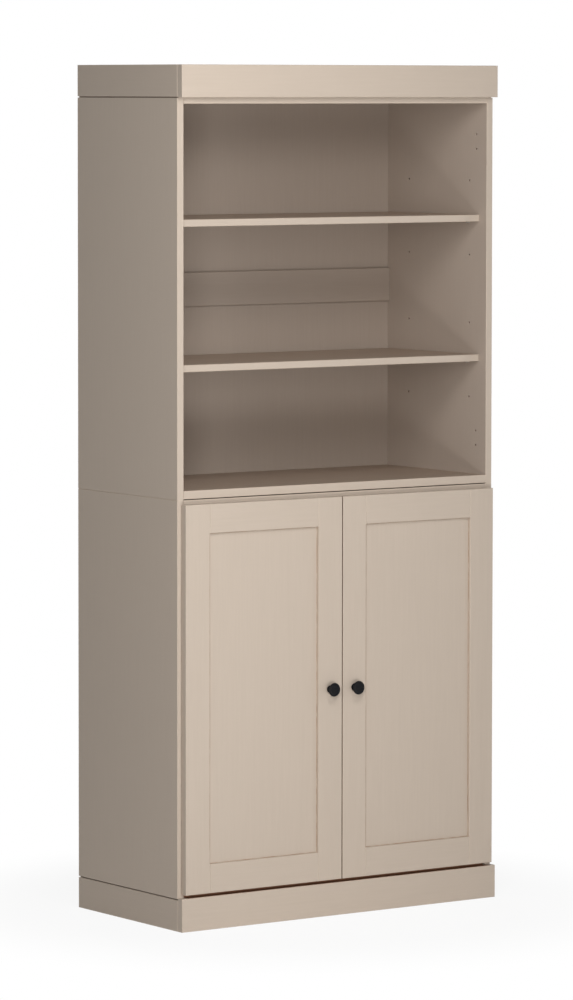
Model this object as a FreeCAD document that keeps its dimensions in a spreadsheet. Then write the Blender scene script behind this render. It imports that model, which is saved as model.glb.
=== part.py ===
import FreeCAD, Part
import os
import re
import Sketcher
from FreeCAD import Placement, Rotation, Vector

# Two-stage bookcase with a pair of framed doors, 1829 mm tall, millimetres, +Z up.
# Two equal carcasses stand on a plinth frame and carry a crown frame. The upper carcass is an
# open bookcase with two adjustable shelves, the lower one a cabinet with one shelf behind two
# five-piece doors on concealed cup hinges. X runs left to right, the doors face -Y, the floor
# is Z = 0 and the origin is the middle of the whole footprint, the knobs included.

SIZES = {
    # carcass boards
    "carcass_width": 830.0,
    "carcass_depth": 386.0,
    "side_height": 847.6,
    "carcass_board": 16.0,
    "upper_floor_board": 17.4,
    "edge_ease": 0.8,
    "inner_edge_ease": 0.4,
    "stack_ease": 1.0,
    "lower_floor_lift": 14.0,
    "lower_top_drop": 0.3,
    "upper_floor_lift": 1.7,
    "upper_top_rise": 1.4,
    # shadow gap cut along the outer edge where a side panel meets the crown or the plinth
    "shadow_height": 2.6,
    "shadow_cut": 4.0,
    # crown and plinth frames
    "crown_height": 67.4,
    "plinth_height": 66.4,
    "frame_front_board": 18.0,
    "frame_side_board": 16.0,
    "crown_front_drop": 1.3,
    "plinth_front_rise": 4.6,
    "frame_corner_ease": 1.3,
    "front_joint_ease": 2.0,
    "corner_block": 22.0,
    "corner_block_height": 48.0,
    # hardboard backs in grooves, joined by a rail at mid-height of each opening
    "back_sheet": 3.0,
    "back_inset": 17.6,
    "groove_depth": 5.0,
    "groove_clearance": 0.2,
    "sheet_end_gap": 0.3,
    "back_rail_height": 73.0,
    "back_rail_board": 16.0,
    "rail_end_gap": 0.25,
    # adjustable shelves and the holes for their pins, measured from the middle of an opening
    "shelf_board": 15.0,
    "shelf_front_setback": 26.5,
    "shelf_end_gap": 0.8,
    "shelf_rear_gap": 1.0,
    "pin_row_near": 74.5,
    "pin_row_lower": 160.3,
    "pin_row_upper": 146.4,
    "pin_row_far": 238.0,
    "pin_column_setback": 62.0,
    "pin_column_pitch": 223.0,
    "pin_hole": 5.0,
    "pin_hole_depth": 10.0,
    "pin_clearance": 0.05,
    "pin_peg_length": 9.0,
    "pin_reach": 9.0,
    "pin_seat_rise": 1.8,
    # doors
    "door_board": 16.0,
    "door_rear_gap": 2.2,
    "door_side_reveal": 9.2,
    "door_meeting_gap": 2.4,
    "door_foot_gap": 6.8,
    "door_head_gap": 9.3,
    "door_frame_width": 62.0,
    "door_panel": 6.0,
    "door_panel_recess": 6.0,
    "door_groove_depth": 9.0,
    "door_joint_clearance": 0.1,
    "tongue_end_gap": 0.5,
    # concealed cup hinges
    "hinge_panel_distance": 98.2,
    "cup_diameter": 35.0,
    "cup_depth": 13.4,
    "cup_edge_distance": 3.0,
    "cup_wall": 0.8,
    "cup_flange": 1.0,
    "cup_ear_width": 28.0,
    "cup_ear_height": 58.0,
    "cup_ear_offset": 2.0,
    "cup_clearance": 0.1,
    "pivot_from_door_edge": 6.4,
    "pivot_from_door_back": 10.3,
    "pivot_pin": 2.2,
    "pivot_pin_length": 17.0,
    "pivot_clearance": 0.05,
    "arm_eye": 3.8,
    "arm_thickness": 2.4,
    "arm_width": 8.0,
    "arm_neck_reach": 14.0,
    "arm_neck_rise": 17.0,
    "arm_tail_length": 54.0,
    "arm_bend": 1.6,
    "plate_hole_setback": 37.0,
    "plate_hole_pitch": 32.0,
    "plate_wing_width": 12.0,
    "plate_wing_height": 46.0,
    "plate_wing_thickness": 1.8,
    "plate_rib_thickness": 4.2,
    "plate_rib_front": 16.0,
    "plate_rib_length": 50.0,
    "plate_rib_width": 15.0,
    # knobs
    "knob_projection": 17.0,
    "knob_head": 29.5,
    "knob_rim": 3.6,
    "knob_dish": 0.8,
    "knob_dish_width": 22.0,
    "knob_neck": 11.0,
    "knob_base": 17.0,
    "knob_base_thickness": 2.6,
    "knob_stud": 5.0,
    "knob_stud_clearance": 0.05,
    # loose hardwood tenons between boards and sides, and between the two carcasses
    "tenon_thickness": 5.0,
    "tenon_width": 36.0,
    "tenon_front_setback": 70.0,
    "tenon_rear_setback": 300.0,
    "stacking_tenon_pitch": 60.0,
    "tenon_side_depth": 10.0,
    "tenon_board_depth": 20.0,
    "tenon_end_gap": 0.3,
    "tenon_clearance": 0.1,
    # rubber pads that the doors close on
    "bumper": 6.0,
    "bumper_thickness": 1.9,
    "bumper_from_middle": 60.0,
}

# Lengths and levels that follow from the sizes above, all as formulas.
FORMULAS = {
    "outer_x": "carcass_width / 2",
    "inner_x": "outer_x - carcass_board",
    "inner_width": "2 * inner_x",
    "door_thickness_out": "door_rear_gap + door_board",
    "front_y": "(door_thickness_out + knob_projection - carcass_depth) / 2",
    "back_y": "front_y + carcass_depth",
    "mid_z": "plinth_height + side_height",
    "upper_side_top": "mid_z + side_height",
    "lower_floor_under": "plinth_height + lower_floor_lift",
    "lower_floor_top": "lower_floor_under + carcass_board",
    "lower_top_under": "mid_z - lower_top_drop - carcass_board",
    "upper_floor_under": "mid_z + upper_floor_lift",
    "upper_floor_top": "upper_floor_under + upper_floor_board",
    "upper_top_under": "upper_side_top + upper_top_rise - carcass_board",
    "lower_opening_mid": "(lower_floor_top + lower_top_under) / 2",
    "upper_opening_mid": "(upper_floor_top + upper_top_under) / 2",
    # back sheets, measured from the carcass front
    "sheet_front": "carcass_depth - back_inset - back_sheet",
    "groove_front": "sheet_front - groove_clearance",
    "groove_width": "back_sheet + 2 * groove_clearance",
    "sheet_entry": "groove_depth - sheet_end_gap",
    "rail_front": "sheet_front + back_sheet / 2 - back_rail_board / 2",
    "rail_groove_front": "(back_rail_board - groove_width) / 2",
    # shelves
    "shelf_length": "inner_width - 2 * shelf_end_gap",
    "shelf_depth": "rail_front - shelf_rear_gap - shelf_front_setback",
    # doors
    "door_width": "carcass_width / 2 - door_side_reveal - door_meeting_gap / 2",
    "door_outer_x": "outer_x - door_side_reveal",
    "door_bottom": "plinth_height + plinth_front_rise + door_foot_gap",
    "door_top": "mid_z - door_head_gap",
    "door_height": "door_top - door_bottom",
    "door_front_y": "front_y - door_thickness_out",
    "door_groove_front": "door_panel_recess - door_joint_clearance",
    "door_groove_width": "door_panel + 2 * door_joint_clearance",
    "door_tongue": "door_groove_depth - tongue_end_gap",
    "door_rail_length": "door_width - 2 * door_frame_width",
    "knob_level": "(door_bottom + door_top) / 2",
    "knob_x": "door_meeting_gap / 2 + door_frame_width / 2",
    # hinges, measured from the door's outer edge and back face
    "hinge_low": "plinth_height + hinge_panel_distance",
    "hinge_high": "mid_z - hinge_panel_distance",
    "cup_centre": "cup_edge_distance + cup_diameter / 2",
    "pivot_x": "door_outer_x - pivot_from_door_edge",
    "pivot_y": "front_y - door_rear_gap - pivot_from_door_back",
    "arm_tail": "pivot_x - inner_x + plate_rib_thickness",
    "pin_diameter": "pin_hole - 2 * pin_clearance",
    "board_tenon_length": "tenon_side_depth + tenon_board_depth - 2 * tenon_end_gap",
    "stacking_tenon_length": "2 * tenon_board_depth - 2 * tenon_end_gap",
}

LEFT, RIGHT = -1, 1

doc = FreeCAD.newDocument("bookcase")
sheet = doc.addObject("Spreadsheet::Sheet", "Sizes")
for row, (alias, size) in enumerate(SIZES.items(), start=1):
    sheet.set(f"A{row}", alias)
    sheet.set(f"B{row}", str(size))
    sheet.setAlias(f"B{row}", alias)
doc.recompute()

sub_parts = []


def formula(text):
    """Write the named formulas out in full, down to cells of the sheet."""
    def word(match):
        name = match.group(0)
        if name in FORMULAS:
            return f"({formula(FORMULAS[name])})"
        return f"Sizes.{name}" if name in SIZES else name
    return re.sub(r"[a-z_]+", word, text)


def value(text):
    return float(sheet.evalExpression(formula(text)))


def bind(thing, path, text):
    thing.setExpression(path, formula(text))


def place(thing, x, y, z):
    for path, text in zip(("x", "y", "z"), (x, y, z)):
        bind(thing, f"Placement.Base.{path}", text)


def new_body(label, x="0", y="0", z="0", exported=True):
    body = doc.addObject("PartDesign::Body", label)
    body.Label = label
    place(body, x, y, z)
    if exported:
        sub_parts.append(body)
    return body


# A sketch plane's normal: the XZ plane looks towards -Y, the other two along their axis.
NORMAL = {"XY": 1, "XZ": -1, "YZ": 1}


def new_sketch(body, plane, level="0", origin=("0", "0")):
    """A sketch on one of the body's origin planes, moved along that plane's axis to a level."""
    sketch = body.newObject("Sketcher::SketchObject", f"{body.Name}_sketch")
    for feature in body.Origin.OriginFeatures:
        if feature.Role == f"{plane}_Plane":
            sketch.AttachmentSupport = [(feature, "")]
    sketch.MapMode = "FlatFace"
    bind(sketch, "AttachmentOffset.Base.x", origin[0])
    bind(sketch, "AttachmentOffset.Base.y", origin[1])
    bind(sketch, "AttachmentOffset.Base.z", level if NORMAL[plane] > 0 else f"-({level})")
    return sketch


def pin_point(sketch, geometry, point, x, y):
    """Fix a point of the sketch by two named distances from its origin."""
    for axis, other, text in (("DistanceX", -2, x), ("DistanceY", -1, y)):
        if abs(value(text)) < 1e-9:
            sketch.addConstraint(Sketcher.Constraint("PointOnObject", geometry, point, other))
        else:
            number = sketch.addConstraint(
                Sketcher.Constraint(axis, -1, 1, geometry, point, value(text)))
            bind(sketch, f"Constraints[{number}]", text)


def outline(sketch, points):
    """A closed outline of straight lines through the points."""
    corners = [Vector(value(x), value(y), 0) for x, y in points]
    first = sketch.GeometryCount
    for start, end in zip(corners, corners[1:] + corners[:1]):
        sketch.addGeometry(Part.LineSegment(start, end), False)
    for index, (x, y) in enumerate(points):
        here = first + index
        before = first + (index - 1) % len(points)
        sketch.addConstraint(Sketcher.Constraint("Coincident", before, 2, here, 1))
        pin_point(sketch, here, 1, x, y)


def rectangle(sketch, x, y, width, height):
    right, top = f"{x} + {width}", f"{y} + {height}"
    outline(sketch, [(x, y), (right, y), (right, top), (x, top)])


def circle(sketch, x, y, diameter):
    centre = Vector(value(x), value(y), 0)
    number = sketch.addGeometry(Part.Circle(centre, Vector(0, 0, 1), value(diameter) / 2), False)
    pin_point(sketch, number, 3, x, y)
    size = sketch.addConstraint(Sketcher.Constraint("Diameter", number, value(diameter)))
    bind(sketch, f"Constraints[{size}]", diameter)


def extrude(body, plane, sketch, length, way, cut=False):
    """Pad or pocket a sketch by a length, towards +1 or -1 along the plane's axis."""
    feature = body.newObject("PartDesign::Pocket" if cut else "PartDesign::Pad",
                             f"{body.Name}_{'pocket' if cut else 'pad'}")
    feature.Profile = sketch
    bind(feature, "Length", length)
    natural_way = -NORMAL[plane] if cut else NORMAL[plane]
    feature.Reversed = way != natural_way


def pad_outline(body, plane, points, length, level="0"):
    sketch = new_sketch(body, plane, level)
    outline(sketch, points)
    extrude(body, plane, sketch, length, 1)


def pad_box(body, width, depth, height):
    sketch = new_sketch(body, "XY")
    rectangle(sketch, "0", "0", width, depth)
    extrude(body, "XY", sketch, height, 1)


def drill(body, plane, centres, diameter, depth, level, way):
    """Round holes of one size, sunk from one level of the body."""
    sketch = new_sketch(body, plane, level)
    for x, y in centres:
        circle(sketch, x, y, diameter)
    extrude(body, plane, sketch, depth, way, cut=True)


def revolve(body, points):
    """Turn an outline of (radius, distance) points about the body's Y axis."""
    sketch = new_sketch(body, "XY")
    outline(sketch, points)
    turned = body.newObject("PartDesign::Revolution", f"{body.Name}_turned")
    turned.Profile = sketch
    turned.ReferenceAxis = (sketch, ["V_Axis"])
    turned.Angle = 360


def ease(body, size, chosen):
    """Chamfer the edges of the newest feature that the test picks by their bounding box."""
    doc.recompute()
    base = body.Tip
    names = [f"Edge{number}" for number, edge in enumerate(base.Shape.Edges, start=1)
             if chosen(edge.BoundBox)]
    chamfer = body.newObject("PartDesign::Chamfer", f"{body.Name}_ease")
    chamfer.Base = (base, names)
    bind(chamfer, "Size", size)


def near(number, target):
    return abs(number - target) < 1e-4


def on_front(box):
    return near(box.YMin, 0) and near(box.YMax, 0)


def front_long(box):
    """Front edges that run the length of a board, not across its thickness."""
    return on_front(box) and max(box.XLength, box.ZLength) > value("frame_front_board")


def across(hand, distance, thickness):
    """A distance from a piece's outer face, in a local frame that always starts at its left."""
    return distance if hand == LEFT else f"{thickness} - ({distance})"


def left_corner(hand, outer, width):
    """The global X of the left face of a piece whose outer face lies at +-outer."""
    return f"-({outer})" if hand == LEFT else f"{outer} - ({width})"


def name_of(hand):
    return "left" if hand == LEFT else "right"


# ---------------------------------------------------------------- carcass sides

TENON_SETBACKS = ("tenon_front_setback", "tenon_rear_setback")
STACKING_SETBACKS = ("tenon_front_setback + stacking_tenon_pitch",
                     "tenon_rear_setback - stacking_tenon_pitch")


def mortises(body, plane, centres, size, depth, level, way):
    """Square-ended slots for loose tenons, each given by its middle on the plane."""
    width, height = (f"{side} + 2 * tenon_clearance" for side in size)
    sketch = new_sketch(body, plane, level)
    for x, y in centres:
        rectangle(sketch, f"{x} - ({width}) / 2", f"{y} - ({height}) / 2", width, height)
    extrude(body, plane, sketch, depth, way, cut=True)


def carcass_side(hand, stage, base, board_middles, pin_rows, opening_mid):
    """A side panel: grooved for the back, drilled for shelf pins, mortised for its joints.

    The upper panels also have the spare holes for hinge plates that a second pair of doors
    would need.
    """
    body = new_body(f"{stage}_side_{name_of(hand)}",
                    left_corner(hand, "outer_x", "carcass_board"), "front_y", base)

    def x(distance):
        return across(hand, distance, "carcass_board")

    groove_floor = x("carcass_board - groove_depth")
    inner = x("carcass_board")
    pad_outline(body, "XY", [
        (x("0"), "0"), (inner, "0"), (inner, "groove_front"), (groove_floor, "groove_front"),
        (groove_floor, "groove_front + groove_width"), (inner, "groove_front + groove_width"),
        (inner, "carcass_depth"), (x("0"), "carcass_depth")], "side_height")
    ease(body, "edge_ease", front_long)

    is_upper = stage == "upper"
    outer_x, joint_z = value(x("0")), 0.0 if is_upper else value("side_height")
    ease(body, "stack_ease",
         lambda box: near(box.XMin, outer_x) and near(box.XMax, outer_x)
         and near(box.ZMin, joint_z) and near(box.ZMax, joint_z))
    low = "side_height - shadow_height" if is_upper else "0"
    sketch = new_sketch(body, "XZ")
    rectangle(sketch, x("0") if hand == LEFT else x("shadow_cut"), low, "shadow_cut",
              "shadow_height")
    extrude(body, "XZ", sketch, "carcass_depth", 1, cut=True)

    columns = ("pin_column_setback", "pin_column_setback + pin_column_pitch")
    pins = [(column, f"{opening_mid} + {row} - {base}") for row in pin_rows for column in columns]
    drill(body, "YZ", pins, "pin_hole", "pin_hole_depth", inner, hand)

    if is_upper:
        plates = [("plate_hole_setback", f"{centre} + {side} * plate_hole_pitch / 2")
                  for centre in ("hinge_panel_distance", "side_height - hinge_panel_distance")
                  for side in (-1, 1)]
        drill(body, "YZ", plates, "pin_hole", "pin_hole_depth", inner, hand)

    boards = [(setback, f"{middle} - {base}")
              for middle in board_middles for setback in TENON_SETBACKS]
    mortises(body, "YZ", boards, ("tenon_width", "tenon_thickness"), "tenon_side_depth",
             inner, hand)
    joint = [("carcass_board / 2", setback) for setback in STACKING_SETBACKS]
    mortises(body, "XY", joint, ("tenon_thickness", "tenon_width"), "tenon_board_depth",
             "0" if is_upper else "side_height", 1 if is_upper else -1)


UPPER_PIN_ROWS = ("pin_row_far", "pin_row_upper", "pin_row_near",
                  "-pin_row_near", "-pin_row_lower", "-pin_row_far")
LOWER_PIN_ROWS = ("0",)

# Each fixed board's underside, thickness and whether its grooved face looks up.
FIXED_BOARDS = {
    "lower_bottom_board": ("lower_floor_under", "carcass_board", True),
    "lower_top_board": ("lower_top_under", "carcass_board", False),
    "upper_bottom_board": ("upper_floor_under", "upper_floor_board", True),
    "upper_top_board": ("upper_top_under", "carcass_board", False),
}


def board_middle(label):
    level, board, groove_up = FIXED_BOARDS[label]
    return f"{level} + {board} / 2"


for hand in (LEFT, RIGHT):
    carcass_side(hand, "lower", "plinth_height",
                 [board_middle("lower_bottom_board"), board_middle("lower_top_board")],
                 LOWER_PIN_ROWS, "lower_opening_mid")
    carcass_side(hand, "upper", "mid_z",
                 [board_middle("upper_bottom_board"), board_middle("upper_top_board")],
                 UPPER_PIN_ROWS, "upper_opening_mid")


# ---------------------------------------------------------------- fixed boards between the sides

def fixed_board(label, level, board, groove_up):
    """A floor or top board: a groove for the back in its inner face, mortised at both ends."""
    body = new_body(label, "-inner_x", "front_y", level)

    def z(distance):
        """From the face that looks into the opening."""
        return f"{board} - ({distance})" if groove_up else distance

    groove_rear = "groove_front + groove_width"
    pad_outline(body, "YZ", [
        ("0", z("0")), ("groove_front", z("0")), ("groove_front", z("groove_depth")),
        (groove_rear, z("groove_depth")), (groove_rear, z("0")), ("carcass_depth", z("0")),
        ("carcass_depth", z(board)), ("0", z(board))], "inner_width")
    ease(body, "inner_edge_ease", front_long)

    ends = [(setback, f"{board} / 2") for setback in TENON_SETBACKS]
    for end, way in (("0", 1), ("inner_width", -1)):
        mortises(body, "YZ", ends, ("tenon_width", "tenon_thickness"), "tenon_board_depth",
                 end, way)


for label, (level, board, groove_up) in FIXED_BOARDS.items():
    fixed_board(label, level, board, groove_up)


# ---------------------------------------------------------------- backs

def back_rail(label, opening_mid):
    """A rail across the back, grooved for both sheets, with tongues in the side grooves."""
    length = "inner_width - 2 * rail_end_gap"
    tongue = "sheet_entry"
    body = new_body(label, f"-inner_x + rail_end_gap - {tongue}", "front_y + rail_front",
                    f"{opening_mid} - back_rail_height / 2")
    groove_rear = "rail_groove_front + groove_width"
    pad_outline(body, "YZ", [
        ("0", "0"), ("rail_groove_front", "0"), ("rail_groove_front", "groove_depth"),
        (groove_rear, "groove_depth"), (groove_rear, "0"), ("back_rail_board", "0"),
        ("back_rail_board", "back_rail_height"), (groove_rear, "back_rail_height"),
        (groove_rear, "back_rail_height - groove_depth"),
        ("rail_groove_front", "back_rail_height - groove_depth"),
        ("rail_groove_front", "back_rail_height"), ("0", "back_rail_height")],
        length, level=tongue)
    tongue_front = "(back_rail_board - back_sheet) / 2"
    for start, way in ((tongue, -1), (f"{tongue} + {length}", 1)):
        sketch = new_sketch(body, "YZ", start)
        rectangle(sketch, tongue_front, "groove_depth", "back_sheet",
                  "back_rail_height - 2 * groove_depth")
        extrude(body, "YZ", sketch, tongue, way)


def back_sheet(label, bottom, top):
    """A hardboard sheet that enters the grooves round it by the same depth on every side."""
    body = new_body(label, "-inner_x - sheet_entry", "front_y + sheet_front",
                    f"{bottom} - sheet_entry")
    pad_box(body, "inner_width + 2 * sheet_entry", "back_sheet",
            f"{top} - ({bottom}) + 2 * sheet_entry")


for stage in ("lower", "upper"):
    floor = f"{stage}_floor_top"
    ceiling = f"{stage}_top_under"
    middle = f"{stage}_opening_mid"
    back_rail(f"{stage}_back_rail", middle)
    back_sheet(f"{stage}_back_sheet_bottom", floor, f"{middle} - back_rail_height / 2")
    back_sheet(f"{stage}_back_sheet_top", f"{middle} + back_rail_height / 2", ceiling)


# ---------------------------------------------------------------- adjustable shelves

SHELF_ROWS = {
    "upper_shelf_high": "upper_opening_mid + pin_row_upper",
    "upper_shelf_low": "upper_opening_mid - pin_row_lower",
    "lower_shelf": "lower_opening_mid",
}


def shelf(label, pin_level):
    body = new_body(label, "-inner_x + shelf_end_gap", "front_y + shelf_front_setback",
                    f"{pin_level} + pin_seat_rise")
    pad_box(body, "shelf_length", "shelf_depth", "shelf_board")
    ease(body, "edge_ease", front_long)


for label, pin_level in SHELF_ROWS.items():
    shelf(label, pin_level)


# ---------------------------------------------------------------- crown and plinth frames

def frame_front(label, z, height):
    """The long board in front of the side boards.

    Its front edges are eased, and so are the rear corners of its ends, which leaves a fine
    groove where it meets the side boards.
    """
    body = new_body(label, "-outer_x", "front_y - frame_front_board", z)
    pad_box(body, "carcass_width", "frame_front_board", height)
    ease(body, "edge_ease", on_front)
    rear = value("frame_front_board")
    ease(body, "front_joint_ease",
         lambda box: near(box.YMin, rear) and near(box.YMax, rear) and near(box.XLength, 0))


def frame_side(hand, label, z, height):
    """A side board flush with the carcass side, its front outer corner eased to a fine line."""
    body = new_body(label, left_corner(hand, "outer_x", "frame_side_board"), "front_y", z)
    pad_box(body, "frame_side_board", "carcass_depth", height)
    outer = value(across(hand, "0", "frame_side_board"))
    ease(body, "frame_corner_ease",
         lambda box: on_front(box) and near(box.XMin, outer) and near(box.XMax, outer))


frame_front("crown_front", "upper_side_top - crown_front_drop",
            "crown_height + crown_front_drop")
frame_front("plinth_front", "0", "plinth_height + plinth_front_rise")
for hand in (LEFT, RIGHT):
    frame_side(hand, f"crown_side_{name_of(hand)}", "upper_side_top", "crown_height")
    frame_side(hand, f"plinth_side_{name_of(hand)}", "0", "plinth_height")

plinth_back = new_body("plinth_back", "-outer_x + frame_side_board",
                       "back_y - frame_side_board", "0")
pad_box(plinth_back, "carcass_width - 2 * frame_side_board", "frame_side_board", "plinth_height")


# ---------------------------------------------------------------- doors

def door_stile(hand, place_name):
    """An upright of the door frame: full height, grooved along its inner edge."""
    is_outer = place_name == "outer"
    outer_edge = "door_outer_x" if is_outer else "door_meeting_gap / 2 + door_frame_width"
    body = new_body(f"{name_of(hand)}_door_stile_{place_name}",
                    left_corner(hand, outer_edge, "door_frame_width"),
                    "door_front_y", "door_bottom")
    groove_hand = hand if is_outer else -hand

    def across_stile(distance):
        return across(groove_hand, distance, "door_frame_width")

    floor = across_stile("door_frame_width - door_groove_depth")
    inner = across_stile("door_frame_width")
    groove_rear = "door_groove_front + door_groove_width"
    pad_outline(body, "XY", [
        (across_stile("0"), "0"), (inner, "0"), (inner, "door_groove_front"),
        (floor, "door_groove_front"), (floor, groove_rear), (inner, groove_rear),
        (inner, "door_board"), (across_stile("0"), "door_board")], "door_height")
    ease(body, "edge_ease", on_front)
    return body


def door_rail(hand, place_name):
    """A cross rail between the stiles, grooved like them, with a tongue at each end."""
    body = new_body(f"{name_of(hand)}_door_rail_{place_name}",
                    f"{left_corner(hand, 'door_outer_x - door_frame_width', 'door_rail_length')}"
                    " - door_tongue",
                    "door_front_y",
                    "door_bottom" if place_name == "bottom" else "door_top - door_frame_width")

    def up(distance):
        return distance if place_name == "bottom" else f"door_frame_width - ({distance})"

    groove_rear = "door_groove_front + door_groove_width"
    floor = up("door_frame_width - door_groove_depth")
    inner = up("door_frame_width")
    pad_outline(body, "YZ", [
        ("0", up("0")), ("0", inner), ("door_groove_front", inner), ("door_groove_front", floor),
        (groove_rear, floor), (groove_rear, inner), ("door_board", inner),
        ("door_board", up("0"))], "door_rail_length", level="door_tongue")
    ease(body, "edge_ease", on_front)
    tongue_low = "0" if place_name == "bottom" else "door_groove_depth"
    for start, way in (("door_tongue", -1), ("door_tongue + door_rail_length", 1)):
        sketch = new_sketch(body, "YZ", start)
        rectangle(sketch, "door_panel_recess", tongue_low, "door_panel",
                  "door_frame_width - door_groove_depth")
        extrude(body, "YZ", sketch, "door_tongue", way)


def door_panel(hand):
    body = new_body(f"{name_of(hand)}_door_panel",
                    f"{left_corner(hand, 'door_outer_x - door_frame_width', 'door_rail_length')}"
                    " - door_tongue",
                    "door_front_y + door_panel_recess",
                    "door_bottom + door_frame_width - door_tongue")
    pad_box(body, "door_rail_length + 2 * door_tongue", "door_panel",
            "door_height - 2 * door_frame_width + 2 * door_tongue")


HINGE_LEVELS = ("hinge_low", "hinge_high")

for hand in (LEFT, RIGHT):
    outer_stile = door_stile(hand, "outer")
    cup_x = across(hand, "cup_centre", "door_frame_width")
    drill(outer_stile, "XZ", [(cup_x, f"{level} - door_bottom") for level in HINGE_LEVELS],
          "cup_diameter + 2 * cup_clearance", "cup_depth + cup_clearance", "door_board", -1)
    inner_stile = door_stile(hand, "inner")
    drill(inner_stile, "XZ", [("door_frame_width / 2", "knob_level - door_bottom")],
          "knob_stud + 2 * knob_stud_clearance", "door_board", "door_board", -1)
    for place_name in ("bottom", "top"):
        door_rail(hand, place_name)
    door_panel(hand)


# ---------------------------------------------------------------- knobs

for hand in (LEFT, RIGHT):
    knob = new_body(f"{name_of(hand)}_knob", f"{hand} * knob_x", "door_front_y - knob_projection",
                    "knob_level")
    neck_end = "knob_projection - knob_base_thickness"
    stud_end = "knob_projection + door_board"
    revolve(knob, [
        ("0", "knob_dish"), ("knob_dish_width / 2", "knob_dish"),
        ("knob_dish_width / 2", "0"), ("knob_head / 2", "0"), ("knob_head / 2", "knob_rim"),
        ("knob_neck / 2", "knob_rim"), ("knob_neck / 2", neck_end),
        ("knob_base / 2", neck_end), ("knob_base / 2", "knob_projection"),
        ("knob_stud / 2", "knob_projection"), ("knob_stud / 2", stud_end), ("0", stud_end)])


# ---------------------------------------------------------------- concealed hinges

def group(label, copies):
    """One sub-part made of several equal pieces, each a link with its own place and turn."""
    links = []
    for master, turn, (x, y, z) in copies:
        link = doc.addObject("App::Link", f"{label}_copy")
        link.LinkedObject = master
        link.Placement = Placement(Vector(0, 0, 0), turn)
        place(link, x, y, z)
        links.append(link)
    compound = doc.addObject("Part::Compound", label)
    compound.Label = label
    compound.Links = links
    sub_parts.append(compound)


def hinge_cup(hand):
    """A pressed cup with ears and a pivot pin across it, about the middle of its bottom."""
    body = new_body(f"{name_of(hand)}_hinge_cup", exported=False)
    inner_radius = "(cup_diameter / 2 - cup_wall)"
    mouth = "cup_depth + cup_flange"
    revolve(body, [
        ("0", "0"), ("cup_diameter / 2", "0"), ("cup_diameter / 2", mouth),
        (inner_radius, mouth), (inner_radius, "cup_wall"), ("0", "cup_wall")])
    ears = new_sketch(body, "XZ", "cup_depth",
                      (f"-cup_ear_width / 2 - {hand} * cup_ear_offset", "-cup_ear_height / 2"))
    rectangle(ears, "0", "0", "cup_ear_width", "cup_ear_height")
    extrude(body, "XZ", ears, "cup_flange", 1)
    drill(body, "XZ", [("0", "0")], f"2 * {inner_radius}", f"{mouth} - cup_wall", mouth, -1)
    pin = new_sketch(body, "XY", "-pivot_pin_length / 2",
                     (f"{hand} * (cup_centre - pivot_from_door_edge)", "0"))
    circle(pin, "0", "cup_depth - pivot_from_door_back", "pivot_pin")
    extrude(body, "XY", pin, "pivot_pin_length", 1)
    return body


def hinge_arm(hand):
    """A cranked arm about its pivot: an eye, a neck out of the cup and a tail on the plate."""
    body = new_body(f"{name_of(hand)}_hinge_arm", exported=False)

    def point(reach, rise):
        """From the pivot: towards the door's middle and towards the back of the carcass."""
        return f"{-hand} * ({reach})", rise

    half = "arm_thickness / 2"
    neck = "arm_neck_reach"
    tail_end = "arm_neck_rise + arm_tail_length"
    arm = new_sketch(body, "XY", "-arm_width / 2")
    outline(arm, [
        point("0", f"-{half}"), point(f"{neck} + {half}", f"-{half}"),
        point(f"{neck} + {half}", f"arm_neck_rise + {half}"),
        point("arm_tail + arm_thickness", f"arm_neck_rise + {half}"),
        point("arm_tail + arm_thickness", tail_end), point("arm_tail", tail_end),
        point("arm_tail", f"arm_neck_rise - {half}"),
        point(f"{neck} - {half}", f"arm_neck_rise - {half}"),
        point(f"{neck} - {half}", half), point("0", half)])
    extrude(body, "XY", arm, "arm_width", 1)
    neck_x = value(point(f"{neck} + {half}", "0")[0])
    ease(body, "arm_bend", lambda box: near(box.XMin, neck_x) and near(box.XMax, neck_x)
         and near(box.YLength, 0))
    eye = new_sketch(body, "XY", "-arm_width / 2")
    circle(eye, "0", "0", "arm_eye")
    extrude(body, "XY", eye, "arm_width", 1)
    drill(body, "XY", [("0", "0")], "pivot_pin + 2 * pivot_clearance", "arm_width",
          "arm_width / 2", -1)
    return body


def hinge_plate(hand):
    """A mounting plate on the side panel: a wing for its screws and a rib that holds the arm."""
    body = new_body(f"{name_of(hand)}_hinge_plate", exported=False)

    def block(thickness, y_start, depth, height):
        sketch = new_sketch(body, "YZ", origin=("0", f"-{height} / 2"))
        rectangle(sketch, y_start, "0", depth, height)
        extrude(body, "YZ", sketch, thickness, -hand)

    block("plate_wing_thickness", "plate_hole_setback - plate_wing_width / 2",
          "plate_wing_width", "plate_wing_height")
    block("plate_rib_thickness", "plate_rib_front", "plate_rib_length", "plate_rib_width")
    return body


STRAIGHT = Rotation()
HALF_TURN = Rotation(Vector(0, 0, 1), 180)

for hand in (LEFT, RIGHT):
    hinge_places = {
        "cups": (hinge_cup(hand), f"{hand} * (door_outer_x - cup_centre)",
                 "front_y - door_rear_gap - cup_depth"),
        "arms": (hinge_arm(hand), f"{hand} * pivot_x", "pivot_y"),
        "plates": (hinge_plate(hand), f"{hand} * inner_x", "front_y"),
    }
    for piece, (master, x, y) in hinge_places.items():
        group(f"{name_of(hand)}_hinge_{piece}",
              [(master, STRAIGHT, (x, y, level)) for level in HINGE_LEVELS])


# ---------------------------------------------------------------- tenons, pins and pads

def box_group(label, size, corners):
    """One sub-part made of equal blocks, each placed by its lowest corner."""
    blocks = []
    for corner in corners:
        block = doc.addObject("Part::Box", f"{label}_piece")
        for edge, text in zip(("Length", "Width", "Height"), size):
            bind(block, edge, text)
        place(block, *corner)
        blocks.append(block)
    compound = doc.addObject("Part::Compound", label)
    compound.Label = label
    compound.Links = blocks
    sub_parts.append(compound)


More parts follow.
